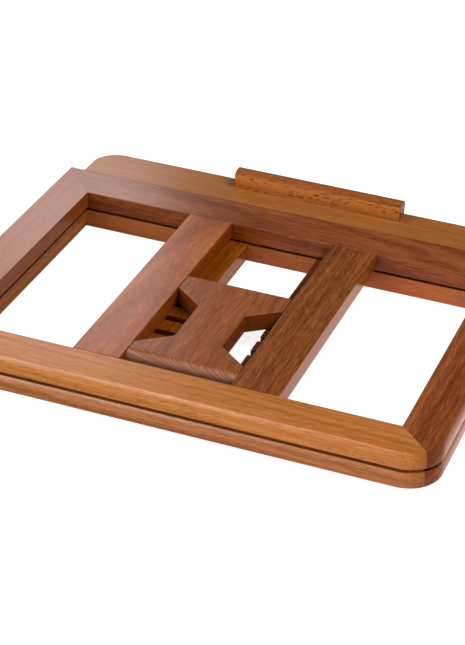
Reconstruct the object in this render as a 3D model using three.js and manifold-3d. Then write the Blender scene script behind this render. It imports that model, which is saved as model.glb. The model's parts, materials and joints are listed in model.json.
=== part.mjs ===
// Folding photo album stand, folded flat. Millimetres, +Z up.
// Origin: under the middle of the stand, on the surface it lies on.
// The album ledge is at -Y, the rack's free edge is at +Y.
import * as THREE from 'three';
import { mergeVertices } from 'three/addons/utils/BufferGeometryUtils.js';
import Module from 'manifold-3d';

// ---- driving dimensions ----
const width = 510;               // both frames, outside
const depth = 465;               // lower frame, outside
const stock = 18;                // thickness of every board
const frameGap = 1.6;            // between the two folded frames
const rackDepth = 377;           // upper frame, free edge to hinge edge
const railWidth = 42;            // side rails and free-edge rails
const hingeRailWidth = 47;
const frontBoardWidth = 137.5;
const barWidth = 45.6;           // middle bars of both frames
const rackBarCentre = 76.8;      // to each side of the middle
const baseBarCentres = [58.1, -61.7];
const backCornerRadius = 34;
const frontCornerRadius = 29;
const glueGap = 0.3;             // clearance between neighbouring pieces

// [inset from the outline, height] of the boards' outer edges
const rackEdge = [[3.2, 0], [0.95, 0.95], [0, 3.2], [0, 10], [0.5, 14], [1.15, 16.2], [2, stock]];
const baseEdge = [[5, 0], [1.5, 1.5], [0, 5], [0, 11.5], [0.4, 14.8], [0.9, 16.5], [1.6, stock]];

// cross notches that hold the prop's foot, four in each lower middle bar
const notchPitch = 27.1;
const notchCount = 4;
const firstNotchWall = 42.4;     // wall on the hinge side, towards which the foot pushes
const notchLength = 9;
const notchDepth = 7;

// prop board, measured from its pivot towards the hinge edge
const pivotY = 168.5;
const propWidth = 106.8;
const propLength = 146;
const neckHalfWidth = 23.7;
const neckStart = 36.6;
const neckEnd = 96.5;
const flareRun = 24.4;           // length over which the neck widens at each end
const neckFillet = 1.5;
const neckFilletRise = 1.2;      // how far the fillet reaches along the sloping side
const pivotPinRadius = 2.5;
const pivotPinLength = 33;
const runningGap = 0.3;

// album ledge on the front board
const ledgeLength = 184;
const ledgeCentreX = 1.1;
const ledgeDepth = 18.8;
const ledgeBackGap = 2.6;        // from the front board's edge to the ledge
const ledgeFlatHeight = 15;
const ledgeCrownRise = 3.8;
const ledgeCrownRun = 9;         // from the flat face back to the crown's highest line
const ledgeSeatGap = 0.1;
const ledgeScrewX = 60;
const ledgeScrewHeadRadius = 4;
const ledgeScrewShankRadius = 2;
const ledgeScrewHead = [0.6, 3]; // heights of the head's face and of its cone's end
const ledgeScrewTip = [28, 30];

// butt hinges at the front edge of the rack
const hingeX = 170;
const hingeAxisY = -147.7;
const hingeAxisZ = stock + 2.8;
const leafLength = 40;
const leafThickness = 1.1;
const leafBackY = -126;
const leafFrontY = -144.6;
const barrelRadius = 2.6;
const barrelBore = 1.5;
const hingePinRadius = 1.2;
const baseLeafBottom = stock - 0.5;
const rackLeafBottom = stock + 0.9;
const leafScrewX = 13;
const leafScrewY = -134;
const leafScrewHeadRadius = 2.3;
const leafScrewShankRadius = 1.3;
const leafScrewLength = 9;
const leafScrewRim = 0.02;
const leafScrewSunk = 0.1;       // head below the leaf's face

// joinery
const dowelRadius = 3;
const dowelLength = 30;
const dowelSpread = 12;          // each dowel's distance from the bar's middle
const keyThickness = 4;
const keyAcross = 18;
const keyAlong = 26;

// derived places
const halfWidth = width / 2;
const halfDepth = depth / 2;
const windowX = halfWidth - railWidth;
const backWindowY = halfDepth - railWidth;
const rackFrontY = halfDepth - rackDepth;
const hingeRailY = rackFrontY + hingeRailWidth;
const frontBoardY = -halfDepth + frontBoardWidth;
const rackZ = stock + frameGap;
const cutMargin = 6;             // how far a cutting shape reaches past the boards
const roundSides = 16;
const smallSides = 12;

// ---- materials ----
const finish = (color, roughness, metalness = 0) =>
  new THREE.MeshStandardMaterial({ color, roughness, metalness });
const lightWood = finish(0xb5703c, 0.35);
const darkWood = finish(0x7d4727, 0.35);
const propWood = finish(0x8e5030, 0.35);
const bareWood = finish(0xc79a66, 0.7);
const brass = finish(0xb9924a, 0.3, 1);
const steel = finish(0x9a9a98, 0.35, 1);

// ---- solids ----
const wasm = await Module();
wasm.setup();

function solidOf(geometry) {
  const bare = geometry.index ? geometry.toNonIndexed() : geometry.clone();
  bare.deleteAttribute('normal');
  bare.deleteAttribute('uv');
  const merged = mergeVertices(bare, 1e-4);
  return new wasm.Manifold(new wasm.Mesh({
    numProp: 3,
    vertProperties: new Float32Array(merged.attributes.position.array),
    triVerts: new Uint32Array(merged.index.array),
  }));
}

function meshOf(name, solid, material) {
  const cut = solid.getMesh();
  const geometry = new THREE.BufferGeometry();
  geometry.setAttribute('position', new THREE.BufferAttribute(new Float32Array(cut.vertProperties), 3));
  geometry.setIndex(new THREE.BufferAttribute(new Uint32Array(cut.triVerts), 1));
  geometry.computeVertexNormals();
  const mesh = new THREE.Mesh(geometry, material);
  mesh.name = name;
  return mesh;
}

function block(lowX, highX, lowY, highY, lowZ, highZ) {
  const box = new THREE.BoxGeometry(highX - lowX, highY - lowY, highZ - lowZ);
  box.translate((lowX + highX) / 2, (lowY + highY) / 2, (lowZ + highZ) / 2);
  return solidOf(box);
}

// Prism over a plan outline, from lowZ to highZ.
function prism(points, lowZ, highZ) {
  const shape = new THREE.Shape(points.map(([x, y]) => new THREE.Vector2(x, y)));
  const geometry = new THREE.ExtrudeGeometry(shape, { depth: highZ - lowZ, bevelEnabled: false });
  geometry.translate(0, 0, lowZ);
  return solidOf(geometry);
}

// Round rod with its middle at (x, y, z), along 'x', 'y' or 'z'.
function rod(axis, radius, length, x, y, z, sides = smallSides) {
  const geometry = new THREE.CylinderGeometry(radius, radius, length, sides);
  if (axis === 'x') geometry.rotateZ(Math.PI / 2);
  if (axis === 'z') geometry.rotateX(Math.PI / 2);
  geometry.translate(x, y, z);
  return solidOf(geometry);
}

// Turned solid about a vertical line: profile of [radius, height] from bottom to top.
function turned(profile, x, y, sides) {
  const points = profile.map(([radius, height]) => new THREE.Vector2(radius, height));
  const geometry = new THREE.LatheGeometry(points, sides);
  geometry.rotateX(Math.PI / 2);
  geometry.translate(x, y, 0);
  return solidOf(geometry);
}

// Points of a rectangle with rounded corners, counter-clockwise.
function roundedOutline(lowY, highY, frontRadius, backRadius, inset, cornerSteps = 7) {
  const corners = [
    [1, -1, lowY, frontRadius, -Math.PI / 2],
    [1, 1, highY, backRadius, 0],
    [-1, 1, highY, backRadius, Math.PI / 2],
    [-1, -1, lowY, frontRadius, Math.PI],
  ];
  const points = [];
  for (const [sideX, sideY, edgeY, radius, start] of corners) {
    const centreX = sideX * (halfWidth - radius);
    const centreY = edgeY - sideY * radius;
    for (let step = 0; step <= cornerSteps; step += 1) {
      const angle = start + (step / cornerSteps) * (Math.PI / 2);
      points.push([
        centreX + (radius - inset) * Math.cos(angle),
        centreY + (radius - inset) * Math.sin(angle),
      ]);
    }
  }
  return points;
}

// Slab whose outer edge follows edgeProfile all round.
function slab(lowY, highY, frontRadius, backRadius, edgeProfile) {
  const rings = edgeProfile.map(([inset, z]) =>
    roundedOutline(lowY, highY, frontRadius, backRadius, inset).map(([x, y]) => [x, y, z]));
  const count = rings[0].length;
  const positions = rings.flat(2);
  const triangles = [];
  for (let level = 0; level + 1 < rings.length; level += 1) {
    for (let i = 0; i < count; i += 1) {
      const a = level * count + i;
      const b = level * count + ((i + 1) % count);
      triangles.push(a, b, b + count, a, b + count, a + count);
    }
  }
  const top = (rings.length - 1) * count;
  for (let i = 1; i + 1 < count; i += 1) {
    triangles.push(0, i + 1, i);
    triangles.push(top, top + i, top + i + 1);
  }
  const geometry = new THREE.BufferGeometry();
  geometry.setAttribute('position', new THREE.Float32BufferAttribute(positions, 3));
  geometry.setIndex(triangles);
  return solidOf(geometry);
}

// ---- joinery shared by both frames, in the frame's own heights 0 to stock ----

// Places of the dowels at both ends of a middle bar.
function barDowelPlaces(centreX, frontY) {
  const places = [];
  for (const y of [frontY, backWindowY]) {
    for (const side of [-1, 1]) places.push([centreX + side * dowelSpread, y]);
  }
  return places;
}

function dowelHole([x, y]) {
  return rod('y', dowelRadius + runningGap, dowelLength + 2 * runningGap, x, y, stock / 2);
}

function dowel(name, [x, y]) {
  return meshOf(name, rod('y', dowelRadius, dowelLength, x, y, stock / 2), bareWood);
}

// Flat key across a mitre: the mitre's middle and its direction in plan.
function keySolid({ x, y, angle }, extra) {
  const [along, across, thickness] = [keyAlong, keyAcross, keyThickness].map((size) => size + 2 * extra);
  const geometry = new THREE.BoxGeometry(along, across, thickness);
  geometry.rotateZ(angle);
  geometry.translate(x, y, stock / 2);
  return solidOf(geometry);
}

function backMitreKey(side) {
  const reach = railWidth - backCornerRadius * (1 - Math.SQRT1_2);
  return {
    x: side * (windowX + reach / 2),
    y: backWindowY + reach / 2,
    angle: side * (Math.PI / 4),
  };
}

function hingeMitreKey(side) {
  return {
    x: side * (windowX + railWidth / 2),
    y: hingeRailY - hingeRailWidth / 2,
    angle: -side * Math.atan2(hingeRailWidth, railWidth),
  };
}

// Plan outlines of the mitred boards, with the glue gap taken off at each mitre.
const mitreGap = glueGap * Math.SQRT1_2;

function backRailPlan() {
  const out = railWidth + cutMargin;
  return [
    [-windowX + mitreGap, backWindowY],
    [windowX - mitreGap, backWindowY],
    [windowX + out - mitreGap, backWindowY + out],
    [-windowX - out + mitreGap, backWindowY + out],
  ];
}

function hingeRailPlan() {
  return [
    [-halfWidth + mitreGap, rackFrontY],
    [halfWidth - mitreGap, rackFrontY],
    [windowX - mitreGap, hingeRailY],
    [-windowX + mitreGap, hingeRailY],
  ];
}

function sideRailPlan(side, frontOuterY, frontInnerY) {
  const out = railWidth + cutMargin;
  const points = [
    [windowX, frontInnerY],
    [halfWidth, frontOuterY],
    [windowX + out, frontOuterY],
    [windowX + out, backWindowY + out - mitreGap],
    [windowX, backWindowY - mitreGap],
  ];
  const mirrored = points.map(([x, y]) => [side * x, y]);
  return side > 0 ? mirrored : mirrored.reverse();
}

function board(slabSolid, plan) {
  return slabSolid.intersect(prism(plan, -cutMargin, stock + cutMargin));
}

function without(solid, cutters) {
  return cutters.reduce((left, cutter) => left.subtract(cutter), solid);
}

// ---- butt hinges ----

// Countersunk wood screw pointing down from its head; the rack's screws are turned over.
function leafScrewProfile(extra) {
  return [
    [0, -leafScrewLength - extra],
    [leafScrewShankRadius + extra, 1 - leafScrewLength - extra],
    [leafScrewShankRadius + extra, leafScrewShankRadius - leafScrewHeadRadius],
    [leafScrewHeadRadius + extra, 0],
    [leafScrewHeadRadius + extra, leafScrewRim + extra],
    [0, leafScrewRim + extra],
  ];
}

function leafScrewSolid(side, end, headZ, up, extra) {
  const turnedOver = up ? -1 : 1;
  const placed = leafScrewProfile(extra).map(([radius, height]) => [radius, headZ + turnedOver * height]);
  const fromBottom = up ? placed.reverse() : placed;
  return turned(fromBottom, side * hingeX + end * leafScrewX, leafScrewY, smallSides);
}

const baseScrewZ = baseLeafBottom + leafThickness - leafScrewSunk;
const rackScrewZ = rackLeafBottom + leafScrewSunk;

function leafScrewHoles(side, up) {
  const headZ = up ? rackScrewZ : baseScrewZ;
  return [-1, 1].map((end) => leafScrewSolid(side, end, headZ, up, runningGap));
}

function hingeCuts(upper) {
  return [1, -1].flatMap((side) => [leafRecess(side, upper), ...leafScrewHoles(side, upper)]);
}

// Three barrel segments share the leaf's length; the lower leaf has the outer two.
function barrelSpans(upper) {
  const third = leafLength / 3;
  if (upper) return [[-third / 2 + runningGap / 2, third / 2 - runningGap / 2]];
  return [[-leafLength / 2, -third / 2 - runningGap / 2], [third / 2 + runningGap / 2, leafLength / 2]];
}

function hingeLeaf(side, upper) {
  const middle = side * hingeX;
  const bottom = upper ? rackLeafBottom : baseLeafBottom;
  const top = bottom + leafThickness;
  let leaf = block(middle - leafLength / 2, middle + leafLength / 2, leafFrontY, leafBackY, bottom, top);
  for (const [low, high] of barrelSpans(upper)) {
    const tongue = block(middle + low, middle + high, hingeAxisY, leafFrontY + 1, bottom, top);
    const centre = middle + (low + high) / 2;
    const barrel = rod('x', barrelRadius, high - low, centre, hingeAxisY, hingeAxisZ, roundSides);
    leaf = leaf.add(tongue).add(barrel);
  }
  const bore = rod('x', barrelBore, leafLength + cutMargin, middle, hingeAxisY, hingeAxisZ, roundSides);
  return without(leaf, [bore, ...leafScrewHoles(side, upper)]);
}

// Shallow recess for a leaf, in the rack's underside or the front board's top.
function leafRecess(side, upper) {
  const middle = side * hingeX;
  const reach = leafLength / 2 + runningGap;
  const bottom = upper ? rackLeafBottom : baseLeafBottom;
  const low = bottom - (upper ? cutMargin : runningGap);
  const high = bottom + leafThickness + (upper ? runningGap : cutMargin);
  return block(middle - reach, middle + reach, hingeAxisY - barrelRadius, leafBackY + runningGap, low, high);
}

function hingePin(side) {
  return rod('x', hingePinRadius, leafLength, side * hingeX, hingeAxisY, hingeAxisZ);
}

function addHinges(group) {
  for (const [side, label] of [[1, 'left'], [-1, 'right']]) {
    group.add(meshOf(`hinge_${label}_lower_leaf`, hingeLeaf(side, false), brass));
    group.add(meshOf(`hinge_${label}_upper_leaf`, hingeLeaf(side, true), brass));
    group.add(meshOf(`hinge_${label}_pin`, hingePin(side), steel));
    for (const [end, word] of [[-1, 'a'], [1, 'b']]) {
      const lower = leafScrewSolid(side, end, baseScrewZ, false, 0);
      const upper = leafScrewSolid(side, end, rackScrewZ, true, 0);
      group.add(meshOf(`hinge_${label}_lower_screw_${word}`, lower, brass));
      group.add(meshOf(`hinge_${label}_upper_screw_${word}`, upper, brass));
    }
  }
}

// ---- album ledge ----

function ledgeScrewProfile(extra) {
  const [face, coneEnd] = ledgeScrewHead;
  const [taper, tip] = ledgeScrewTip;
  return [
    [0, face - extra],
    [ledgeScrewHeadRadius + extra, face - extra],
    [ledgeScrewShankRadius + extra, coneEnd],
    [ledgeScrewShankRadius + extra, taper],
    [0, tip + extra],
  ];
}

function ledgeScrew(side, extra) {
  const middleY = -halfDepth + ledgeBackGap + ledgeDepth / 2;
  return turned(ledgeScrewProfile(extra), side * ledgeScrewX, middleY, smallSides);
}

// Flat face towards the album, and a crown that is an arc of a circle from front to back.
function ledgeSolid() {
  const bottom = stock + ledgeSeatGap;
  const crease = stock + ledgeFlatHeight;
  const crownRadius = (ledgeCrownRun ** 2 + ledgeCrownRise ** 2) / (2 * ledgeCrownRise);
  const start = Math.acos(ledgeCrownRun / crownRadius);
  const end = Math.acos((ledgeCrownRun - ledgeDepth) / crownRadius);
  const shape = new THREE.Shape();
  shape.moveTo(0, bottom);
  shape.lineTo(ledgeDepth, bottom);
  shape.absarc(
    ledgeDepth - ledgeCrownRun,
    crease + ledgeCrownRise - crownRadius,
    crownRadius,
    start,
    end,
    false,
  );
  const settings = { depth: ledgeLength, bevelEnabled: false, curveSegments: roundSides };
  const geometry = new THREE.ExtrudeGeometry(shape, settings);
  geometry.rotateX(Math.PI / 2);
  geometry.rotateZ(Math.PI / 2);
  geometry.translate(ledgeCentreX - ledgeLength / 2, -halfDepth + ledgeBackGap, 0);
  return without(solidOf(geometry), [ledgeScrew(-1, runningGap), ledgeScrew(1, runningGap)]);
}

// ---- lower frame ----

function notchedBar(centreX) {
  const bar = block(
    centreX - barWidth / 2, centreX + barWidth / 2,
    frontBoardY + glueGap, backWindowY - glueGap, 0, stock,
  );
  const cutters = barDowelPlaces(centreX, frontBoardY).map(dowelHole);
  for (let i = 0; i < notchCount; i += 1) {
    const wall = firstNotchWall + i * notchPitch;
    cutters.push(block(
      centreX - barWidth, centreX + barWidth,
      wall, wall + notchLength, stock - notchDepth, stock + cutMargin,
    ));
  }
  return without(bar, cutters);
}

function frontBoardDowelPlaces() {
  const places = [];
  for (const side of [1, -1]) {
    const middle = side * (windowX + railWidth / 2);
    places.push([middle - dowelSpread, frontBoardY], [middle + dowelSpread, frontBoardY]);
  }
  return places;
}

function buildBase() {
  const group = new THREE.Group();
  const whole = slab(-halfDepth, halfDepth, frontCornerRadius, backCornerRadius, baseEdge);
  const barDowels = baseBarCentres.flatMap((x) => barDowelPlaces(x, frontBoardY));
  const dowels = [...barDowels, ...frontBoardDowelPlaces()];
  const holes = dowels.map(dowelHole);
  const keys = [1, -1].map(backMitreKey);
  const keySlots = keys.map((key) => keySolid(key, runningGap));
  const reach = halfWidth + cutMargin;
  const frontPlan = [
    [-reach, -halfDepth - cutMargin], [reach, -halfDepth - cutMargin],
    [reach, frontBoardY], [-reach, frontBoardY],
  ];
  const frontCuts = [...holes, ...hingeCuts(false), ledgeScrew(1, runningGap), ledgeScrew(-1, runningGap)];
  const backCuts = [...holes, ...keySlots];
  const sideFrontY = frontBoardY + glueGap;
  const sideRail = (side) => board(whole, sideRailPlan(side, sideFrontY, sideFrontY));

  group.add(meshOf('base_back_rail', without(board(whole, backRailPlan()), backCuts), lightWood));
  group.add(meshOf('base_left_rail', without(sideRail(1), backCuts), darkWood));
  group.add(meshOf('base_right_rail', without(sideRail(-1), backCuts), darkWood));
  group.add(meshOf('base_front_board', without(board(whole, frontPlan), frontCuts), lightWood));
  group.add(meshOf('base_left_notched_bar', notchedBar(baseBarCentres[0]), darkWood));
  group.add(meshOf('base_right_notched_bar', notchedBar(baseBarCentres[1]), darkWood));
  group.add(meshOf('album_ledge', ledgeSolid(), lightWood));
  group.add(meshOf('ledge_left_screw', ledgeScrew(1, 0), steel));
  group.add(meshOf('ledge_right_screw', ledgeScrew(-1, 0), steel));
  dowels.forEach((place, i) => group.add(dowel(`base_dowel_${i + 1}`, place)));
  keys.forEach((key, i) => group.add(meshOf(`base_mitre_key_${i + 1}`, keySolid(key, 0), bareWood)));
  return group;
}

// ---- upper frame ----

function pivotPin(side, extra) {
  const middle = side * (propWidth / 2);
  const length = pivotPinLength + 2 * extra;
  return rod('x', pivotPinRadius + extra, length, middle, pivotY, stock / 2, roundSides);
}

function rackBar(side) {
  const centreX = side * rackBarCentre;
  const bar = block(
    centreX - barWidth / 2, centreX + barWidth / 2,
    hingeRailY + glueGap, backWindowY - glueGap, 0, stock,
  );
  return without(bar, [...barDowelPlaces(centreX, hingeRailY).map(dowelHole), pivotPin(side, runningGap)]);
}

function buildRack() {
  const group = new THREE.Group();
  group.position.z = rackZ;
  const cutOffY = rackFrontY - 2 * backCornerRadius;
  const whole = slab(cutOffY, halfDepth, backCornerRadius, backCornerRadius, rackEdge);
  const dowels = [1, -1].flatMap((side) => barDowelPlaces(side * rackBarCentre, hingeRailY));
  const holes = dowels.map(dowelHole);
  const keys = [1, -1].flatMap((side) => [backMitreKey(side), hingeMitreKey(side)]);
  const cuts = [...holes, ...keys.map((key) => keySolid(key, runningGap))];
  const hingeRailCuts = hingeCuts(true).map((cut) => cut.translate([0, 0, -rackZ]));
  const sideRail = (side) => board(whole, sideRailPlan(side, rackFrontY, hingeRailY + mitreGap));

  group.add(meshOf('rack_free_rail', without(board(whole, backRailPlan()), cuts), lightWood));
  group.add(meshOf('rack_left_rail', without(sideRail(1), cuts), darkWood));
  group.add(meshOf('rack_right_rail', without(sideRail(-1), cuts), darkWood));
  const hingeRail = without(board(whole, hingeRailPlan()), [...cuts, ...hingeRailCuts]);
  group.add(meshOf('rack_hinge_rail', hingeRail, darkWood));
  group.add(meshOf('rack_left_bar', rackBar(1), darkWood));
  group.add(meshOf('rack_right_bar', rackBar(-1), darkWood));
  group.add(meshOf('prop_left_pin', pivotPin(1, 0), steel));
  group.add(meshOf('prop_right_pin', pivotPin(-1, 0), steel));
  dowels.forEach((place, i) => group.add(dowel(`rack_dowel_${i + 1}`, place)));
  keys.forEach((key, i) => group.add(meshOf(`rack_mitre_key_${i + 1}`, keySolid(key, 0), bareWood)));
  return group;
}

// ---- prop board, about its pivot ----

// One side of the neck, from the pivot end to the foot.
function propSidePoints(side) {
  const half = side * (propWidth / 2);
  const neck = side * neckHalfWidth;
  const filletX = side * (neckHalfWidth + neckFillet);
  return {
    flareTop: [half, -neckStart + flareRun],
    filletTop: [filletX, -neckStart + neckFilletRise],
    cornerTop: [neck, -neckStart],
    neckTop: [neck, -neckStart - neckFillet],
    neckFoot: [neck, -neckEnd + neckFillet],
    cornerFoot: [neck, -neckEnd],
    filletFoot: [filletX, -neckEnd - neckFilletRise],
    flareFoot: [half, -neckEnd - flareRun],
  };
}

function propPlan() {
  const half = propWidth / 2;
  const left = propSidePoints(-1);
  const right = propSidePoints(1);
  const shape = new THREE.Shape();
  shape.moveTo(half, stock);
  shape.lineTo(-half, stock);
  shape.lineTo(...left.flareTop);
  shape.lineTo(...left.filletTop);
  shape.quadraticCurveTo(...left.cornerTop, ...left.neckTop);
  shape.lineTo(...left.neckFoot);
  shape.quadraticCurveTo(...left.cornerFoot, ...left.filletFoot);
  shape.lineTo(...left.flareFoot);
  shape.lineTo(-half, -propLength);
  shape.lineTo(half, -propLength);
  shape.lineTo(...right.flareFoot);
  shape.lineTo(...right.filletFoot);
  shape.quadraticCurveTo(...right.cornerFoot, ...right.neckFoot);
  shape.lineTo(...right.neckTop);
  shape.quadraticCurveTo(...right.cornerTop, ...right.filletTop);
  shape.lineTo(...right.flareTop);
  shape.closePath();
  return shape;
}

// Side view: square foot, half-round end about the pivot.
function propSide() {
  const radius = stock / 2;
  const shape = new THREE.Shape();
  shape.moveTo(-propLength, -radius);
  shape.lineTo(0, -radius);
  shape.absarc(0, 0, radius, -Math.PI / 2, Math.PI / 2, false);
  shape.lineTo(-propLength, radius);
  shape.closePath();
  return shape;
}

function buildProp() {
  const group = new THREE.Group();
  group.position.set(0, pivotY, rackZ + stock / 2);
  const planSettings = { depth: stock + 2 * cutMargin, bevelEnabled: false, curveSegments: 4 };
  const plan = new THREE.ExtrudeGeometry(propPlan(), planSettings);
  plan.translate(0, 0, -stock / 2 - cutMargin);
  const sideSettings = { depth: propWidth + 2 * cutMargin, bevelEnabled: false, curveSegments: smallSides };
  const side = new THREE.ExtrudeGeometry(propSide(), sideSettings);
  side.rotateX(Math.PI / 2);
  side.rotateZ(Math.PI / 2);
  side.translate(-propWidth / 2 - cutMargin, 0, 0);
  const pinHoles = [1, -1].map((end) => pivotPin(end, runningGap).translate([0, -pivotY, -stock / 2]));
  group.add(meshOf('prop_board', without(solidOf(plan).intersect(solidOf(side)), pinHoles), propWood));
  return group;
}

// ---- the whole stand ----

const stand = new THREE.Group();
stand.name = 'photo_album_stand';
stand.add(buildBase());
stand.add(buildRack());
stand.add(buildProp());
addHinges(stand);

export default stand;
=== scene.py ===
import json
import math

import bmesh
import bpy
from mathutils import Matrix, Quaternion, Vector


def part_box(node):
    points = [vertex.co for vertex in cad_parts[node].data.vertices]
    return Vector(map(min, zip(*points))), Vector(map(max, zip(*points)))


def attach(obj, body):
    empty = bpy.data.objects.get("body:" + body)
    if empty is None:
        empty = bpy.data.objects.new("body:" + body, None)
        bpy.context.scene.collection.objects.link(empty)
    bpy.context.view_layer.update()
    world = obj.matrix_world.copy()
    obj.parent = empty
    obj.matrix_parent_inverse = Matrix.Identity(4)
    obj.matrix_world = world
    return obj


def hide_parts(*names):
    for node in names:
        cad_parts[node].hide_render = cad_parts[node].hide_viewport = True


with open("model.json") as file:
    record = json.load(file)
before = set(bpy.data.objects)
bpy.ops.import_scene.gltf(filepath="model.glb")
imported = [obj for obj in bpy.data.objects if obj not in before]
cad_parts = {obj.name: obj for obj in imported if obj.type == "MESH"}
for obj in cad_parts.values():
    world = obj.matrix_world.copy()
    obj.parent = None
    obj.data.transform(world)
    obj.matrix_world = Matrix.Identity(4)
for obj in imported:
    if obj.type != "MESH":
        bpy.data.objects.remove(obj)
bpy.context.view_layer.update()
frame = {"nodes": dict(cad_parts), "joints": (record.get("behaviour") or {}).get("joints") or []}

MM = 0.001

# ---- places, read from the frame; the "left" nodes lie at +X ----
side_low, side_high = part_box("rack_left_rail")
free_low, free_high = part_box("rack_free_rail")
hinge_low, hinge_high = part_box("rack_hinge_rail")
board_low, board_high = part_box("base_front_board")
prop_low, prop_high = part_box("prop_board")
ledge_low, ledge_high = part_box("album_ledge")

HALF_WIDTH = side_high.x
WINDOW_X = side_low.x
RACK_Z = side_low.z
STOCK = side_high.z - side_low.z
BACK_Y = free_high.y
WINDOW_BACK_Y = free_low.y
RACK_FRONT_Y = hinge_low.y
HINGE_RAIL_Y = hinge_high.y
BOARD_FRONT_Y = board_low.y
BOARD_BACK_Y = board_high.y
PIVOT = next(Vector(joint["pos_m"]) for joint in frame["joints"] if joint["name"] == "prop_swing")
SIDES = ((1, "left"), (-1, "right"))

# ---- edge shapes: heights are above a board's underside ----
BACK_CORNER = 34 * MM
FRONT_CORNER = 29 * MM
CORNER_STEPS = 14
RACK_LOW_EDGE = 3.6 * MM
RACK_CROWN_START = 7 * MM
RACK_CROWN_RADIUS = 27 * MM
BASE_LOW_EDGE = 5 * MM
BASE_CROWN_START = 8.7 * MM
BASE_CROWN_RADIUS = 19 * MM
BASE_CREASE = 16.9 * MM
BASE_BEVEL_RUN = 7 * MM
BOARD_CROWN_START = 11.5 * MM
BOARD_CROWN_RADIUS = 14 * MM
BOARD_LEAN_START = 5 * MM
BOARD_LEAN = 2.5 * MM
INNER_BEVEL_RUN = 5 * MM
INNER_EDGE = 0.7 * MM
JOINT_LINE = 0.05 * MM
CROWN_STEPS = 8


def quarter_round(z, low_radius, high_radius, height):
    """How far a board's face stands back at height z, with both edges rounded."""
    if z < low_radius:
        return low_radius - math.sqrt(max(0, low_radius**2 - (low_radius - z) ** 2))
    over = z - (height - high_radius)
    if over > 0:
        return high_radius - math.sqrt(max(0, high_radius**2 - over**2))
    return 0


def crowned(z, low_radius, start, crown_radius):
    """Outer edge of a frame: eased below, a shallow crown that meets the flat top in a crease."""
    if z > start:
        return crown_radius - math.sqrt(crown_radius**2 - (z - start) ** 2)
    return quarter_round(z, low_radius, 0, STOCK)


def bevel_share(z):
    """Rises from 0 at the base's crease to 1 at its top."""
    return max(0, z - BASE_CREASE) / (STOCK - BASE_CREASE)


def rack_edge(z):
    return crowned(z, RACK_LOW_EDGE, RACK_CROWN_START, RACK_CROWN_RADIUS)


def base_edge(z):
    """Above its crease the base falls away in a flat bevel, which leaves the dark line under the rack,
    darkened further by painted shade on the bevel.
    """
    edge = crowned(min(z, BASE_CREASE), BASE_LOW_EDGE, BASE_CROWN_START, BASE_CROWN_RADIUS)
    return edge + BASE_BEVEL_RUN * bevel_share(z)


def board_edge(z):
    return crowned(z, BASE_LOW_EDGE, BOARD_CROWN_START, BOARD_CROWN_RADIUS)


def inner_edge(z):
    return quarter_round(z, INNER_EDGE, INNER_EDGE, STOCK)


def base_inner_edge(z):
    """Inner edge of a base rail, with the same hidden bevel as outside."""
    return quarter_round(z, INNER_EDGE, 0, STOCK) + INNER_BEVEL_RUN * bevel_share(z)


def board_inner_edge(z):
    """The front board's inner face leans back to stand under the hinge rail's face."""
    lean = BOARD_LEAN * min(1, max(0, (z - BOARD_LEAN_START) / (BASE_CREASE - BOARD_LEAN_START)))
    return lean + base_inner_edge(z)


def arc_levels(low_radius, high_radius, steps):
    """Heights that follow a board's rounded edges closely and skip the flat part."""
    levels = set()
    for i in range(steps + 1):
        turn = (math.pi / 2) * i / steps
        levels.add(round(low_radius * (1 - math.cos(turn)), 7))
        levels.add(round(STOCK - high_radius * (1 - math.cos(turn)), 7))
    return levels


BAR_LEVELS = sorted(arc_levels(INNER_EDGE, INNER_EDGE, 3))


def frame_levels(low_radius, start, crease):
    """Heights for a rail or board whose outer edge has a crown from start to crease."""
    crown = {start + (crease - start) * i / CROWN_STEPS for i in range(CROWN_STEPS + 1)}
    return sorted(arc_levels(low_radius, INNER_EDGE, 5) | crown | set(BAR_LEVELS))


RACK_LEVELS = frame_levels(RACK_LOW_EDGE, RACK_CROWN_START, STOCK)
BASE_LEVELS = frame_levels(BASE_LOW_EDGE, BASE_CROWN_START, BASE_CREASE)
BOARD_LEVELS = frame_levels(BASE_LOW_EDGE, BOARD_CROWN_START, STOCK)
FRONT_LEVELS = sorted({BOARD_LEAN_START, BASE_CREASE, *BOARD_LEVELS})


# ---- procedural materials ----
def socket_value(tree, socket, value):
    """Links a socket to a node's output, or sets it to a plain value."""
    if isinstance(value, bpy.types.NodeSocket):
        tree.links.new(value, socket)
    elif isinstance(value, tuple) and len(value) == 3 and socket.type == "RGBA":
        socket.default_value = (*value, 1)
    else:
        socket.default_value = value


def calculate(tree, operation, *values):
    made = tree.nodes.new("ShaderNodeMath")
    made.operation = operation
    for socket, value in zip(made.inputs, values):
        socket_value(tree, socket, value)
    return made.outputs[0]


def weighted_sum(tree, *pairs):
    total = 0.0
    for value, weight in pairs:
        total = calculate(tree, "MULTIPLY_ADD", value, weight, total)
    return total


def coordinates(tree, kind="Object"):
    return tree.nodes.new("ShaderNodeTexCoord").outputs[kind]


def split(tree, vector):
    """A vector's three parts, found by the name of their axis."""
    made = tree.nodes.new("ShaderNodeSeparateXYZ")
    tree.links.new(vector, made.inputs[0])
    return made.outputs


def mapped(tree, vector, scale=(1, 1, 1), rotation=(0, 0, 0), location=(0, 0, 0)):
    made = tree.nodes.new("ShaderNodeMapping")
    made.inputs["Scale"].default_value = scale
    made.inputs["Rotation"].default_value = rotation
    made.inputs["Location"].default_value = location
    tree.links.new(vector, made.inputs["Vector"])
    return made.outputs[0]


def noise(tree, vector, grains, detail=3.0, roughness=0.55):
    """Noise stretched like fibres: grains is how many fit in a metre along x, y and z."""
    texture = tree.nodes.new("ShaderNodeTexNoise")
    texture.inputs["Scale"].default_value = 1.0
    texture.inputs["Detail"].default_value = detail
    texture.inputs["Roughness"].default_value = roughness
    tree.links.new(mapped(tree, vector, grains), texture.inputs["Vector"])
    return texture.outputs["Fac"]


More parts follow.
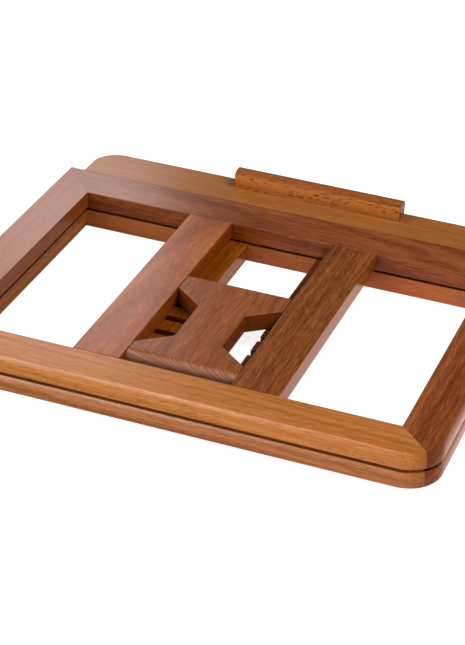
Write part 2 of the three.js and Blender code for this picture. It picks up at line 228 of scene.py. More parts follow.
def line_noise(tree, value, scale, detail, roughness):
    """Noise along a single value."""
    texture = tree.nodes.new("ShaderNodeTexNoise")
    texture.noise_dimensions = "1D"
    texture.inputs["Scale"].default_value = scale
    texture.inputs["Detail"].default_value = detail
    texture.inputs["Roughness"].default_value = roughness
    tree.links.new(value, texture.inputs["W"])
    return texture.outputs["Fac"]


def ramp(tree, value, stops):
    made = tree.nodes.new("ShaderNodeValToRGB")
    elements = made.color_ramp.elements
    while len(elements) < len(stops):
        elements.new(0.5)
    for element, (position, color) in zip(elements, stops):
        element.position = position
        element.color = (*color, 1)
    tree.links.new(value, made.inputs["Fac"])
    return made.outputs["Color"]


def grey_ramp(tree, value, low, high, strength=1.0, start=0.0):
    """Rises from start, where value is low, to strength, where it is high."""
    made = tree.nodes.new("ShaderNodeMapRange")
    made.inputs["From Min"].default_value = low
    made.inputs["From Max"].default_value = high
    made.inputs["To Min"].default_value = start
    made.inputs["To Max"].default_value = strength
    tree.links.new(value, made.inputs["Value"])
    return made.outputs[0]


def mix(tree, factor, first, second, mode="MIX"):
    made = tree.nodes.new("ShaderNodeMix")
    made.data_type = "RGBA"
    made.blend_type = mode
    socket_value(tree, made.inputs["Factor"], factor)
    socket_value(tree, made.inputs[6], first)
    socket_value(tree, made.inputs[7], second)
    return made.outputs[2]


def add_bump(tree, shader, height, strength, distance):
    made = tree.nodes.new("ShaderNodeBump")
    made.inputs["Strength"].default_value = strength
    made.inputs["Distance"].default_value = distance
    tree.links.new(height, made.inputs["Height"])
    tree.links.new(made.outputs[0], shader.inputs["Normal"])


def new_material(name):
    material = bpy.data.materials.new(name)
    material.use_nodes = True
    return material, material.node_tree, material.node_tree.nodes["Principled BSDF"]


def scaled(color, factors):
    return tuple(channel * factor for channel, factor in zip(color, factors))


def shade(tones, factor):
    return tuple(scaled(tone, (factor, factor, factor)) for tone in tones)


# How many fit in a metre along the fibres, across them, and up.
RING_WOBBLE = (3.0, 10.0, 10.0)
BANDS = (4, 70, 70)
STREAKS = (38, 1300, 1300)
FIBRES = (85, 1900, 1900)
RAYS = (150, 1100, 620)
RAY_CLUSTERS = (25, 130, 130)

WOBBLE_DEPTH = 12 * MM
BAND_WEIGHT = 0.3
STREAK_WEIGHT = 0.5
FIBRE_WEIGHT = 0.55
FIGURE_BIAS = 0.015
WOOD_BUMP_DEPTH = 0.2 * MM
COAT_ROUGHNESS = 0.22
COAT_IOR = 1.34

# What a tone is multiplied by where the wood is darker, and where painted shade darkens the hidden bevels.
FLECK_STAIN = (0.3, 0.3, 0.3)
GAP_SHADE = (0.2, 0.15, 0.1)
SEALED_END_STAIN = (0.55, 0.5, 0.45)
END_RING_STAIN = (0.65, 0.65, 0.65)

# Where the painted shade on the base's hidden bevels starts and is full, along Z and Y.
GAP_SHADE_BOTTOM = (BASE_CREASE, BASE_CREASE + 0.15 * MM)
GAP_SHADE_TOP = (STOCK - 0.05 * MM, STOCK - 0.6 * MM)
GAP_SHADE_FRONT = (RACK_FRONT_Y, RACK_FRONT_Y + MM)

# How far a face has to turn towards an axis for its painted side light and shade and side gloss, or its
# end-grain colour, to start and to be full.
SIDE_TURN = (0.75, 0.2)
SEALED_END_TURN = (0.3, 0.9)
BARE_END_TURN = (0.12, 0.6)


def along_board(tree, node, grain):
    """Coordinates from the middle of a board: along its fibres, across them, and up."""
    low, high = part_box(node)
    x, y, z = (low + high) / 2
    if grain == "Y":
        return mapped(tree, coordinates(tree), rotation=(0, 0, -math.pi / 2), location=(-y, x, -z))
    return mapped(tree, coordinates(tree), location=(-x, -y, -z))


def growth_rings(tree, fibre, placed, heart, tilt, density):
    """Uneven growth rings round the log's heart, which runs at a small angle to the board."""
    angles = (0, math.radians(tilt[0]), math.radians(tilt[1]))
    log = split(tree, mapped(tree, fibre, rotation=angles, location=(0, -heart[0], -heart[1])))
    squares = [calculate(tree, "MULTIPLY", log[axis], log[axis]) for axis in ("Y", "Z")]
    radius = calculate(tree, "SQRT", calculate(tree, "ADD", *squares))
    wobble = noise(tree, placed, RING_WOBBLE, 2.0)
    return line_noise(tree, calculate(tree, "MULTIPLY_ADD", wobble, WOBBLE_DEPTH, radius), density, 2.0, 0.5)


def figured(tree, placed, rings, streaks, tones, lines, spread):
    """The stain's three tones over rings, broad bands, streaks and fine fibres."""
    weights = (
        (rings, lines),
        (noise(tree, placed, BANDS, 2.0), BAND_WEIGHT),
        (streaks, STREAK_WEIGHT),
        (noise(tree, placed, FIBRES, 1.0, 0.5), FIBRE_WEIGHT),
    )
    middle = sum((lines, BAND_WEIGHT, STREAK_WEIGHT, FIBRE_WEIGHT)) / 2 + FIGURE_BIAS
    stops = ((middle - spread, tones[0]), (middle, tones[1]), (middle + spread, tones[2]))
    return ramp(tree, weighted_sum(tree, *weights), stops)


def facing(tree, axis, low, high):
    """Rises from 0 to 1 as a face's normal turns towards the axis."""
    normal = split(tree, coordinates(tree, "Normal"))[axis]
    return grey_ramp(tree, calculate(tree, "ABSOLUTE", normal), low, high)


def end_grain(tree, rings, tones, bare):
    """Dark sealed end grain, or pale bare end grain with its rings, by how bare it is; the pale tone is
    partly painted light.
    """
    # Painted light: the bare end grain is lightened past its own colour, to lift the shaded rounded end.
    pale = tuple(0.95 * channel + 0.085 * bare for channel in tones[2])
    ringed = mix(tree, grey_ramp(tree, rings, 0.4, 0.5), scaled(tones[1], END_RING_STAIN), pale)
    return mix(tree, bare, scaled(tones[1], SEALED_END_STAIN), ringed)


def ray_flecks(tree, placed, strength):
    """Short dark rays in loose clusters."""
    rays = grey_ramp(tree, noise(tree, placed, RAYS, 1.0, 0.4), 0.58, 0.66)
    clusters = grey_ramp(tree, noise(tree, placed, RAY_CLUSTERS, 1.0), 0.42, 0.56, strength)
    return calculate(tree, "MULTIPLY", rays, clusters)


def painted_joint_shade(tree, strength):
    """Painted shade: rises to strength on the base's hidden bevels, to darken the narrow joint under the
    rack.
    """
    place = split(tree, coordinates(tree))
    above = grey_ramp(tree, place["Z"], *GAP_SHADE_BOTTOM)
    below = grey_ramp(tree, place["Z"], *GAP_SHADE_TOP)
    behind = grey_ramp(tree, place["Y"], *GAP_SHADE_FRONT, strength)
    return calculate(tree, "MULTIPLY", calculate(tree, "MULTIPLY", above, below), behind)


def satin_lacquer(tree, shader, streaks, side, cut, gloss, bare_ends):
    """Clear coat with one gloss on the top and one on upright faces, and none on bare end grain."""
    tree.links.new(grey_ramp(tree, streaks, 0.3, 0.7, 0.55, start=0.4), shader.inputs["Roughness"])
    shader.inputs["Specular IOR Level"].default_value = 0.0
    coat = calculate(tree, "MULTIPLY_ADD", side, gloss[1] - gloss[0], gloss[0])
    sealed = calculate(tree, "MULTIPLY_ADD", cut, -bare_ends, 1.0)
    tree.links.new(calculate(tree, "MULTIPLY", coat, sealed), shader.inputs["Coat Weight"])
    shader.inputs["Coat Roughness"].default_value = COAT_ROUGHNESS
    shader.inputs["Coat IOR"].default_value = COAT_IOR


def wood(node, grain, tones, seed, density=260.0, heart=(0.09, -0.07), tilt=(1.0, 0.6), lines=0.5,
         flecks=0.25, side_light_and_shade=(0.96, 0.84, 0.45), gloss=(1.0, 1.0), bare_ends=0.0, spread=0.17, gap_shade=0.0):
    """Stained, satin-lacquered beech for the board that a CAD node stands for.

    grain is the axis that the fibres follow, and tones are the dark, middle and light stain. heart is the
    log's middle across and above the board, tilt its angles to the board and density its rings in a metre.
    lines is how strongly the rings show, flecks the strength of the short dark rays, side_light_and_shade the
    painted light and shade that upright faces are multiplied by against the top, gloss the lacquer on the top
    and on upright faces, and bare_ends how pale the end grain is, partly its bare colour and partly painted
    light. The wider the spread, the calmer the figure. gap_shade is how dark the painted shade is on the
    hidden bevels that face the rack.
    """
    material, tree, shader = new_material(f"wood_{node}")
    fibre = along_board(tree, node, grain)
    placed = mapped(tree, fibre, location=(seed, seed / 3, seed / 7))
    rings = growth_rings(tree, fibre, placed, heart, tilt, density)
    streaks = noise(tree, placed, STREAKS, 2.0, 0.65)
    side = facing(tree, "Z", *SIDE_TURN)
    cut = facing(tree, grain, *(BARE_END_TURN if bare_ends else SEALED_END_TURN))

    color = figured(tree, placed, rings, streaks, tones, lines, spread)
    # Painted light and shade: upright faces are multiplied by the side factors, lighter or darker than the
    # top.
    color = mix(tree, side, color, mix(tree, 1.0, color, side_light_and_shade, "MULTIPLY"))
    color = mix(tree, cut, color, end_grain(tree, rings, tones, bare_ends))
    color = mix(tree, ray_flecks(tree, placed, flecks), color, scaled(tones[0], FLECK_STAIN))
    # Painted shade on the hidden bevels, which darkens the narrow joint under the rack.
    if gap_shade:
        color = mix(tree, painted_joint_shade(tree, gap_shade), color, scaled(tones[0], GAP_SHADE))
    tree.links.new(color, shader.inputs["Base Color"])
    add_bump(tree, shader, streaks, 0.15, WOOD_BUMP_DEPTH)
    satin_lacquer(tree, shader, streaks, side, cut, gloss, bare_ends)
    return material


BRUSH_MARKS = (60, 2500, 2500)
SMUDGES = (90, 90, 90)
SMUDGE_STAIN = (0.72, 0.72, 0.72)
METAL_BUMP_DEPTH = 0.1 * MM


def metal(name, color, roughness):
    """Turned or stamped metal with faint brush marks and handling smudges."""
    material, tree, shader = new_material(name)
    brushed = noise(tree, coordinates(tree), BRUSH_MARKS)
    smudges = noise(tree, coordinates(tree), SMUDGES)
    dull = scaled(color, SMUDGE_STAIN)
    tree.links.new(mix(tree, smudges, dull, color), shader.inputs["Base Color"])
    uneven = calculate(tree, "MULTIPLY_ADD", brushed, 0.2, roughness - 0.1)
    tree.links.new(uneven, shader.inputs["Roughness"])
    add_bump(tree, shader, brushed, 0.1, METAL_BUMP_DEPTH)
    shader.inputs["Metallic"].default_value = 1.0
    return material


LIGHT = ((0.29, 0.09, 0.017), (0.38, 0.13, 0.029), (0.465, 0.172, 0.044))
DARK = ((0.1, 0.023, 0.0055), (0.17, 0.045, 0.012), (0.25, 0.073, 0.021))
GOLDEN = ((0.095, 0.024, 0.005), (0.175, 0.049, 0.011), (0.27, 0.082, 0.021))
RED = ((0.14, 0.035, 0.009), (0.205, 0.057, 0.017), (0.275, 0.086, 0.028))
AMBER = ((0.2, 0.06, 0.01), (0.28, 0.09, 0.018), (0.36, 0.125, 0.03))
RUSSET = ((0.185, 0.048, 0.01), (0.23, 0.065, 0.014), (0.27, 0.082, 0.019))
OCHRE = ((0.14, 0.03, 0.0015), (0.2, 0.047, 0.003), (0.26, 0.068, 0.006))
BARE = ((0.35, 0.2, 0.1), (0.47, 0.29, 0.16), (0.58, 0.39, 0.23))

# The prop board's look; its side factors paint its upright faces darker, as painted shade.
PROP_LOOK = {
    "grain": "Y",
    "tones": shade(RED, 1.02),
    "seed": 4.4,
    "heart": (-0.09, -0.3),
    "side_light_and_shade": (0.74, 0.52, 0.12),
}

# The look of each board, by the CAD node that it replaces; the side factors are painted light and shade on
# upright faces.
LOOKS = {
    "rack_free_rail": {
        "grain": "X",
        "tones": LIGHT,
        "seed": 0.3,
        "lines": 0.35,
        "flecks": 0.4,
        "spread": 0.2,
        "side_light_and_shade": (1.17, 1.22, 1.37),
    },
    "base_back_rail": {
        "grain": "X",
        "tones": shade(LIGHT, 0.92),
        "seed": 0.7,
        "side_light_and_shade": (0.96, 0.98, 1.4),
        "gap_shade": 0.45,
    },
    "base_front_board": {
        "grain": "X",
        "tones": shade(LIGHT, 0.78),
        "seed": 1.3,
        "lines": 0.3,
        "flecks": 0.15,
        "spread": 0.22,
        "side_light_and_shade": (0.95, 0.78, 0.85),
        "gap_shade": 0.9,
    },
    "album_ledge": {
        "grain": "X",
        "tones": RUSSET,
        "seed": 2.1,
        "flecks": 0.75,
        "side_light_and_shade": (2.25, 2.6, 2.6),
        "bare_ends": 0.5,
    },
    "rack_hinge_rail": {
        "grain": "X",
        "tones": DARK,
        "seed": 0.05,
        "density": 90,
        "heart": (0.02, -0.05),
        "tilt": (5, 3),
        "spread": 0.24,
        "side_light_and_shade": (0.88, 0.76, 0.42),
    },
    "rack_left_rail": {"grain": "Y", "tones": shade(DARK, 1.28), "seed": 0.9, "lines": 0.2, "spread": 0.3},
    "rack_right_rail": {"grain": "Y", "tones": shade(DARK, 1.1), "seed": 1.7, "density": 180, "lines": 0.35},
    "rack_left_bar": {
        "grain": "Y",
        "tones": shade(DARK, 1.54),
        "seed": 2.3,
        "density": 170,
        "heart": (0.01, -0.06),
        "tilt": (3, 2),
        "lines": 0.3,
        "spread": 0.24,
        "side_light_and_shade": (0.8, 0.63, 0.2),
    },
    "rack_right_bar": {"grain": "Y", "tones": shade(GOLDEN, 0.95), "seed": 2.9, "density": 180, "lines": 0.4},
    "base_left_rail": {"grain": "Y", "tones": AMBER, "seed": 3.3, "gap_shade": 0.9},
    "base_right_rail": {"grain": "Y", "tones": shade(DARK, 1.2), "seed": 3.6, "gap_shade": 0.9},
    "base_left_notched_bar": {"grain": "Y", "tones": OCHRE, "seed": 3.9, "gloss": (0.06, 1)},
    "base_right_notched_bar": {"grain": "Y", "tones": shade(RED, 0.5), "seed": 4.1, "gloss": (0.06, 1)},
    "prop_board": {"gloss": (1, 0.1), "density": 330, "lines": 0.4, "spread": 0.13, **PROP_LOOK},
}

WOODS = {node: wood(node, **look) for node, look in LOOKS.items()}
PROP_END_WOOD = wood("prop_board", bare_ends=0.93, density=1700, **PROP_LOOK)
BARE_WOOD = wood("prop_board", "Y", BARE, 5.0)
BRASS = metal("brass", (0.74, 0.5, 0.19), 0.3)
STEEL = metal("steel", (0.62, 0.62, 0.6), 0.32)


# ---- mesh helpers ----
MERGE_DISTANCE = 1e-6
CREASE_ANGLE = 35
EASE_STEPS = 3
SHARPEST_INSET = 0.3


def new_object(name, data):
    thing = bpy.data.objects.new(name, data)
    bpy.context.scene.collection.objects.link(thing)
    return thing


def stacked(name, rings):
    """Closed solid through rings of points that match one to one, capped at both ends."""
    work = bmesh.new()
    rows = [[work.verts.new(point) for point in ring] for ring in rings]
    count = len(rows[0])
    for low, high in zip(rows, rows[1:]):
        for i in range(count):
            work.faces.new((low[i], low[(i + 1) % count], high[(i + 1) % count], high[i]))
    work.faces.new(list(reversed(rows[0])))
    work.faces.new(rows[-1])
    bmesh.ops.remove_doubles(work, verts=work.verts, dist=MERGE_DISTANCE)
    bmesh.ops.recalc_face_normals(work, faces=work.faces)
    mesh = bpy.data.meshes.new(name)
    work.to_mesh(mesh)
    work.free()
    return new_object(name, mesh)


def soft_shading(thing):
    """Smooth faces with crisp creases, and normals that keep the flats flat."""
    for face in thing.data.polygons:
        face.use_smooth = True
    thing.data.set_sharp_from_angle(angle=math.radians(CREASE_ANGLE))
    weighted = thing.modifiers.new("weighted", "WEIGHTED_NORMAL")
    weighted.keep_sharp = True


def finish_piece(thing, body, node):
    """Gives a board its shading and wood, and puts it in its CAD node's place."""
    soft_shading(thing)
    thing.data.materials.append(WOODS[node])
    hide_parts(node)
    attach(thing, body)


def inset_outline(points, distance):
    """Closed outline of (a, b) points, moved inwards; its points run counter-clockwise."""
    moved = []
    count = len(points)
    for i in range(count):
        before, here, after = (Vector(points[(i + k) % count]) for k in (-1, 0, 1))
        first = (here - before).normalized()
        second = (after - here).normalized()
        normal_a = Vector((-first.y, first.x))
        normal_b = Vector((-second.y, second.x))
        bisector = normal_a + normal_b
        scale = distance / max(SHARPEST_INSET, bisector.dot(normal_a))
        moved.append(here + bisector * scale)
    return moved


def fillet(before, corner, after, radius, steps):
    """Points that round one corner of an outline."""
    before, corner, after = Vector(before), Vector(corner), Vector(after)
    to_before = (before - corner).normalized()
    to_after = (after - corner).normalized()
    half = to_before.angle(to_after) / 2
    reach = radius / math.tan(half)
    centre = corner + (to_before + to_after).normalized() * (radius / math.sin(half))
    start = corner + to_before * reach - centre
    sweep = start.angle_signed(corner + to_after * reach - centre)
    points = []
    for i in range(steps + 1):
        turn = -sweep * i / steps
        x = start.x * math.cos(turn) - start.y * math.sin(turn)
        y = start.x * math.sin(turn) + start.y * math.cos(turn)
        points.append((centre.x + x, centre.y + y))
    return points


def extruded_x(name, outline, low_x, high_x, ease):
    """Bar along X with a side view of (y, z) points and eased ends."""
    rings = []
    for i in range(EASE_STEPS + 1):
        turn = (math.pi / 2) * i / EASE_STEPS
        inset = ease * (1 - math.sin(turn))
        x = low_x + ease * (1 - math.cos(turn))
        rings.append([Vector((x, y, z)) for y, z in inset_outline(outline, inset)])
    mirrored = [[Vector((low_x + high_x - p.x, p.y, p.z)) for p in ring] for ring in reversed(rings)]
    return stacked(name, rings + mirrored)


# ---- rails and the front board ----
HINGE_CORNER_EASE = 0.8 * MM
HINGE_CORNER_STEPS = 4


def corner_arc(side, edge_y, radius, inset, start, end, sign_y=1):
    """Points of a rounded plan corner, angles in degrees from the side's outward direction."""
    centre_x = HALF_WIDTH - radius
    centre_y = edge_y - sign_y * radius
    points = []
    for i in range(CORNER_STEPS + 1):
        turn = math.radians(start + (end - start) * i / CORNER_STEPS)
        x = centre_x + (radius - inset) * math.cos(turn)
        y = centre_y + sign_y * (radius - inset) * math.sin(turn)
        points.append((side * x, y))
    return points


def back_rail_ring(z, bottom, outer, inside):
    """Plan ring of a mitred back rail at height z, with each mitre a joint line short."""
    inset, inner = outer(z), inside(z)
    inner_corner = (WINDOW_X + inner - JOINT_LINE, WINDOW_BACK_Y + inner)
    (mitre_x, mitre_y), *arc = corner_arc(1, BACK_Y, BACK_CORNER, inset, 45, 90)
    plan = [inner_corner, (mitre_x - JOINT_LINE, mitre_y), *arc]
    mirrored = [(-x, y) for x, y in reversed(plan)]
    return [Vector((x, y, bottom + z)) for x, y in plan + mirrored]


def side_rail_ring(z, bottom, outer, inside, side, front):
    """Plan ring of a side rail; front(x, z) is the Y of its front end under a point."""
    inset, inner = outer(z), inside(z)
    corner_x = WINDOW_X + inner
    outside_x = HALF_WIDTH - inset
    arc = corner_arc(1, BACK_Y, BACK_CORNER, inset, 0, 45)
    arc[-1] = (arc[-1][0], arc[-1][1] - JOINT_LINE)
    plan = [
        (outside_x, front(outside_x, z)),
        *arc,
        (corner_x, WINDOW_BACK_Y + inner - JOINT_LINE),
        (corner_x, front(corner_x, z)),
    ]
    return [Vector((side * x, y, bottom + z)) for x, y in plan]


def hinge_mitre(x, z=0):
    """Front end of a rack side rail: the Y of its mitre with the hinge rail, at any height."""
    share = (abs(x) - WINDOW_X) / (HALF_WIDTH - WINDOW_X)
    return HINGE_RAIL_Y + share * (RACK_FRONT_Y - HINGE_RAIL_Y)


def butt_joint(x, z):
    """Front end of a base side rail, which follows the front board's inner face."""
    return BOARD_BACK_Y - board_inner_edge(z) + 2 * JOINT_LINE


def hinge_rail_ring(z):
    """Plan ring of the hinge rail, whose square front corners follow the crowned outer faces of the rack's
    side rails.
    """
    inset, inner = rack_edge(z), inner_edge(z)
    outside_x = HALF_WIDTH - inset
    mitre_slope = (HALF_WIDTH - WINDOW_X) / (HINGE_RAIL_Y - RACK_FRONT_Y)
    inside_x = WINDOW_X + inner * mitre_slope - JOINT_LINE
    mitre_end = hinge_mitre(outside_x) - JOINT_LINE
    plan = [(inside_x, HINGE_RAIL_Y - inner), (outside_x, mitre_end)]
    for i in range(HINGE_CORNER_STEPS + 1):
        turn = (math.pi / 2) * i / HINGE_CORNER_STEPS
        x = outside_x - HINGE_CORNER_EASE * (1 - math.cos(turn))
        y = RACK_FRONT_Y + HINGE_CORNER_EASE * (1 - math.sin(turn)) + inner * math.sin(turn)
        plan.append((x, min(y, mitre_end)))
    mirrored = [(-x, y) for x, y in reversed(plan)]
    return [Vector((x, y, RACK_Z + z)) for x, y in plan + mirrored]


def front_board_ring(z):
    """Plan ring of the front board, from its rounded front corners to its inner face."""
    inset, inner = board_edge(z), board_inner_edge(z)
    right = corner_arc(1, BOARD_FRONT_Y, FRONT_CORNER, inset, 90, 0, sign_y=-1)
    left = corner_arc(-1, BOARD_FRONT_Y, FRONT_CORNER, inset, 0, 90, sign_y=-1)
    inside_x = HALF_WIDTH - inset
    plan = [*right, (inside_x, BOARD_BACK_Y - inner), (-inside_x, BOARD_BACK_Y - inner), *left]
    return [Vector((x, y, z)) for x, y in plan]


def make_rails():
    free = [back_rail_ring(z, RACK_Z, rack_edge, inner_edge) for z in RACK_LEVELS]
    finish_piece(stacked("free_rail", free), "rack", "rack_free_rail")
    back = [back_rail_ring(z, 0, base_edge, base_inner_edge) for z in BASE_LEVELS]
    finish_piece(stacked("back_rail", back), "base", "base_back_rail")
    hinge = [hinge_rail_ring(z) for z in RACK_LEVELS]
    finish_piece(stacked("hinge_rail", hinge), "rack", "rack_hinge_rail")
    board = [front_board_ring(z) for z in FRONT_LEVELS]
    finish_piece(stacked("front_board", board), "base", "base_front_board")
    for side, label in SIDES:
        rack = [side_rail_ring(z, RACK_Z, rack_edge, inner_edge, side, hinge_mitre) for z in RACK_LEVELS]
        finish_piece(stacked(f"{label}_rail", rack), "rack", f"rack_{label}_rail")
        base = [side_rail_ring(z, 0, base_edge, base_inner_edge, side, butt_joint) for z in FRONT_LEVELS]
        finish_piece(stacked(f"{label}_base_rail", base), "base", f"base_{label}_rail")


# ---- middle bars ----
NOTCH_COUNT = 4
NOTCH_START = 42.4 * MM
NOTCH_PITCH = 27.1 * MM
NOTCH_LENGTH = 9 * MM
NOTCH_DEPTH = 7 * MM


def bar_ring(z, bottom, low, high):
    inner = inner_edge(z)
    plan = [
        (low.x + inner, low.y),
        (high.x - inner, low.y),
        (high.x - inner, high.y),
        (low.x + inner, high.y),
    ]
    return [Vector((x, y, bottom + z)) for x, y in plan]


def notched_outline(low, high):
    """Side view (y, z) of a notched bar, whose front end leans with the front board."""
    floor = STOCK - NOTCH_DEPTH
    outline = [(low.y, 0), (high.y, 0), (high.y, STOCK)]
    for i in reversed(range(NOTCH_COUNT)):
        near = NOTCH_START + i * NOTCH_PITCH
        far = near + NOTCH_LENGTH
        outline += [(far, STOCK), (far, floor), (near, floor), (near, STOCK)]
    outline.append((low.y - BOARD_LEAN, STOCK))
    return outline


def make_bars():
    for _, label in SIDES:
        low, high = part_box(f"rack_{label}_bar")
        low.y = HINGE_RAIL_Y + JOINT_LINE
        high.y = WINDOW_BACK_Y - JOINT_LINE
        bar = stacked(f"{label}_bar", [bar_ring(z, RACK_Z, low, high) for z in BAR_LEVELS])
        finish_piece(bar, "rack", f"rack_{label}_bar")
        low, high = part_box(f"base_{label}_notched_bar")
        low.y = BOARD_BACK_Y + JOINT_LINE
        high.y = WINDOW_BACK_Y - JOINT_LINE
        bar = extruded_x(f"{label}_notched_bar", notched_outline(low, high), low.x, high.x, INNER_EDGE)
        finish_piece(bar, "base", f"base_{label}_notched_bar")


# ---- prop board: its neck is measured from the pivot ----
NECK_HALF = 23.7 * MM
NECK_START = 36.6 * MM
NECK_END = 96.5 * MM
FLARE_RUN = 24.4 * MM
NECK_FILLET = 1.6 * MM
NECK_FILLET_STEPS = 6
PROP_END_STEPS = 20


def prop_plan(end_y):
    """Plan outline of the prop, counter-clockwise, from its square foot to its half-round end."""
    half = prop_high.x
    side = [
        (half, prop_low.y),
        (half, PIVOT.y - NECK_END - FLARE_RUN),
        (NECK_HALF, PIVOT.y - NECK_END),
        (NECK_HALF, PIVOT.y - NECK_START),
        (half, PIVOT.y - NECK_START + FLARE_RUN),
        (half, end_y),
    ]
    low_neck = fillet(*side[1:4], NECK_FILLET, NECK_FILLET_STEPS)
    high_neck = fillet(*side[2:5], NECK_FILLET, NECK_FILLET_STEPS)
    right = [*side[:2], *low_neck, *high_neck, *side[4:]]
    left = [(-x, y) for x, y in reversed(right)]
    return right + left


def prop_ring(turn):
    """Ring where the half-round end, a half circle seen from the side, has turned by an angle."""
    radius = STOCK / 2
    z = radius + radius * math.sin(turn)
    end_y = PIVOT.y + radius * math.cos(turn)
    plan = prop_plan(end_y)
    ring = []
    for (_, y), moved in zip(plan, inset_outline(plan, inner_edge(z))):
        at_end = y > end_y - MERGE_DISTANCE
        ring.append(Vector((moved.x, y if at_end else moved.y, prop_low.z + z)))
    return ring


def make_prop():
    rings = [prop_ring(-math.pi / 2 + math.pi * i / PROP_END_STEPS) for i in range(PROP_END_STEPS + 1)]
    prop = stacked("prop", rings)
    finish_piece(prop, "prop", "prop_board")
    prop.data.materials.append(PROP_END_WOOD)
    for face in prop.data.polygons:
        if face.center.y > PIVOT.y and abs(face.normal.x) < 0.5:
            face.material_index = 1


# ---- album ledge ----
LEDGE_CREASE = 15 * MM
LEDGE_CROWN_RISE = 3.8 * MM
LEDGE_CROWN_RUN = 9 * MM
LEDGE_CROWN_STEPS = 22
LEDGE_CREASE_RADIUS = 1.2 * MM
LEDGE_CREASE_STEPS = 4
LEDGE_END_EASE = 0.9 * MM


def ledge_outline():
    """Side view (y, z): flat face, crease, and a crown that is an arc from front to back."""
    rise, run = LEDGE_CROWN_RISE, LEDGE_CROWN_RUN
    radius = (run**2 + rise**2) / (2 * rise)
    centre_y = ledge_high.y - run
    centre_z = STOCK + LEDGE_CREASE + rise - radius
    start = math.acos(run / radius)
    end = math.acos((ledge_low.y - centre_y) / radius)
    crown = []
    for i in range(LEDGE_CROWN_STEPS + 1):
        turn = start + (end - start) * i / LEDGE_CROWN_STEPS
        crown.append((centre_y + radius * math.cos(turn), centre_z + radius * math.sin(turn)))
    foot = (ledge_high.y, ledge_low.z)
    crease = fillet(foot, crown[0], crown[1], LEDGE_CREASE_RADIUS, LEDGE_CREASE_STEPS)
    return [(ledge_low.y, ledge_low.z), foot, *crease, *crown[1:]]


def make_ledge():
    ledge = extruded_x("ledge", ledge_outline(), ledge_low.x, ledge_high.x, LEDGE_END_EASE)
    finish_piece(ledge, "base", "album_ledge")


# ---- hidden joinery and metalwork keep their CAD shapes ----
def paint_cad_nodes():
    for name, thing in frame["nodes"].items():
        if thing.hide_render:
            continue
        if "dowel" in name or "key" in name:
            material = BARE_WOOD
        elif name.startswith("hinge") and not name.endswith("pin"):
            material = BRASS
        else:
            material = STEEL
        thing.data.materials.clear()
        thing.data.materials.append(material)


make_rails()
make_bars()
make_prop()
make_ledge()
paint_cad_nodes()


# ---- studio floor ----
FLOOR_HALF = 30.0
WHITE_FLOOR_DROP = 0.2 * MM
BOUNCE_FLOOR_DROP = 0.4 * MM

# Where the bounce floor's glow starts and is full, along X or Y in metres.
GLOW_ACROSS = (0.25, -0.25)
GLOW_RIGHT_END = (-0.34, -0.27)
GLOW_BACK_END = (0.3, 0.12)
GLOW_BEHIND = (0.3, 0.5)
GLOW_UNDER_STRENGTH = 1.6
GLOW_BEHIND_STRENGTH = 0.5


def floor_sheet(name, drop, material):
    mesh = bpy.data.meshes.new(name)
    corners = [(-FLOOR_HALF, -FLOOR_HALF, 0), (FLOOR_HALF, -FLOOR_HALF, 0)]
    corners += [(FLOOR_HALF, FLOOR_HALF, 0), (-FLOOR_HALF, FLOOR_HALF, 0)]
    mesh.from_pydata(corners, [], [(0, 1, 2, 3)])
    mesh.materials.append(material)
    sheet = new_object(name, mesh)
    sheet.location.z = -drop
    return sheet


def make_white_floor():
    """Plain white floor that only the camera sees."""
    material, _, shader = new_material("floor")
    shader.inputs["Base Color"].default_value = (0.4, 0.4, 0.4, 1)
    shader.inputs["Roughness"].default_value = 0.7
    shader.inputs["Specular IOR Level"].default_value = 0.0
    shader.inputs["Emission Color"].default_value = (1, 1, 1, 1)
    shader.inputs["Emission Strength"].default_value = 0.85
    floor = floor_sheet("floor", WHITE_FLOOR_DROP, material)
    floor.visible_glossy = False
    floor.visible_diffuse = False
    floor.visible_shadow = False


def make_bounce_floor():
    """Dimmer floor that the camera doesn't see, whose warm, graded light reaches the stand."""
    material, tree, shader = new_material("floor_bounce")
    place = split(tree, coordinates(tree))
    across = grey_ramp(tree, place["X"], *GLOW_ACROSS, GLOW_UNDER_STRENGTH)
    right_end = grey_ramp(tree, place["X"], *GLOW_RIGHT_END)
    back_end = grey_ramp(tree, place["Y"], *GLOW_BACK_END)
    under = calculate(tree, "MULTIPLY", back_end, calculate(tree, "MULTIPLY", right_end, across))
    behind = grey_ramp(tree, place["Y"], *GLOW_BEHIND, GLOW_BEHIND_STRENGTH)
    tree.links.new(calculate(tree, "ADD", under, behind), shader.inputs["Emission Strength"])
    shader.inputs["Base Color"].default_value = (0.24, 0.21, 0.19, 1)
    shader.inputs["Specular IOR Level"].default_value = 0.0
    shader.inputs["Emission Color"].default_value = (1, 0.66, 0.56, 1)
    bounce = floor_sheet("floor_bounce", BOUNCE_FLOOR_DROP, material)
    bounce.visible_camera = False


# ---- studio light and camera ----
CAMERA_TARGET = Vector((-0.0065, 0.0580, 0.0190))
CAMERA_AZIMUTH = 199.21
CAMERA_ELEVATION = 30.41
CAMERA_ROLL = 2.88
CAMERA_DISTANCE = 1.9926
CAMERA_LENS = 117.23


def direction(azimuth, elevation):
    """Unit vector from the stand, azimuth 0 being the ledge's side and 90 +X."""
    turn, rise = math.radians(azimuth), math.radians(elevation)
    return Vector((math.sin(turn) * math.cos(rise), -math.cos(turn) * math.cos(rise), math.sin(rise)))


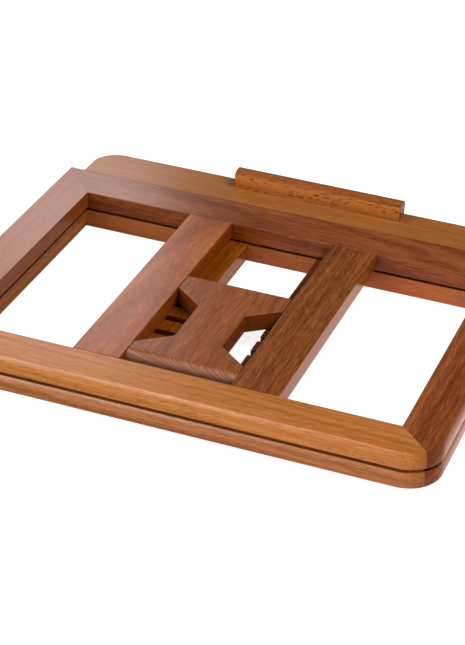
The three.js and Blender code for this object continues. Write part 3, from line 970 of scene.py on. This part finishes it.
def softbox(name, azimuth, elevation, distance, size, radiance, color=(1, 1, 1),
            mirrored=True, lighting=True):
    """Rectangular lamp that faces the stand, with an even radiance over its face."""
    data = bpy.data.lights.new(name, "AREA")
    data.shape = "RECTANGLE"
    data.size, data.size_y = size
    data.energy = radiance * math.pi * size[0] * size[1]
    data.color = color
    lamp = new_object(name, data)
    lamp.visible_glossy = mirrored
    lamp.visible_diffuse = lighting
    outwards = direction(azimuth, elevation)
    lamp.location = outwards * distance
    lamp.rotation_mode = "QUATERNION"
    lamp.rotation_quaternion = (-outwards).to_track_quat("-Z", "Y")


def make_lights():
    """One small warm lamp for the haze on the left rail, and soft boxes round the stand."""
    softbox("glare_softbox", 28.4, 28, 3.2, (0.5, 0.42), 7.2, (1, 0.88, 0.87))
    softbox("camera_softbox", 162, 10, 3.0, (3.2, 1.3), 6.4, mirrored=False)
    softbox("crown_softbox", 155, 10, 3.0, (1.3, 1.3), 6.6, lighting=False)
    softbox("key_softbox", 262, 52, 3.0, (2.4, 2.4), 5.2)
    softbox("fill_softbox", 98, 50, 3.0, (2.0, 2.0), 3.8, mirrored=False)


def make_world():
    world = bpy.data.worlds.new("studio")
    world.use_nodes = True
    background = world.node_tree.nodes["Background"]
    background.inputs["Color"].default_value = (1, 1, 1, 1)
    background.inputs["Strength"].default_value = 0.03
    bpy.context.scene.world = world


def make_camera():
    """Camera at the photograph's angle."""
    data = bpy.data.cameras.new("camera")
    data.lens = CAMERA_LENS
    data.sensor_width = 36
    data.clip_start = 0.05
    camera = new_object("camera", data)
    back = direction(CAMERA_AZIMUTH, CAMERA_ELEVATION)
    camera.location = CAMERA_TARGET + back * CAMERA_DISTANCE
    camera.rotation_mode = "QUATERNION"
    aim = (-back).to_track_quat("-Z", "Y")
    camera.rotation_quaternion = aim @ Quaternion((0, 0, 1), math.radians(CAMERA_ROLL))
    bpy.context.scene.camera = camera


make_white_floor()
make_bounce_floor()
make_lights()
make_world()
make_camera()
bpy.context.scene.view_settings.view_transform = "Standard"
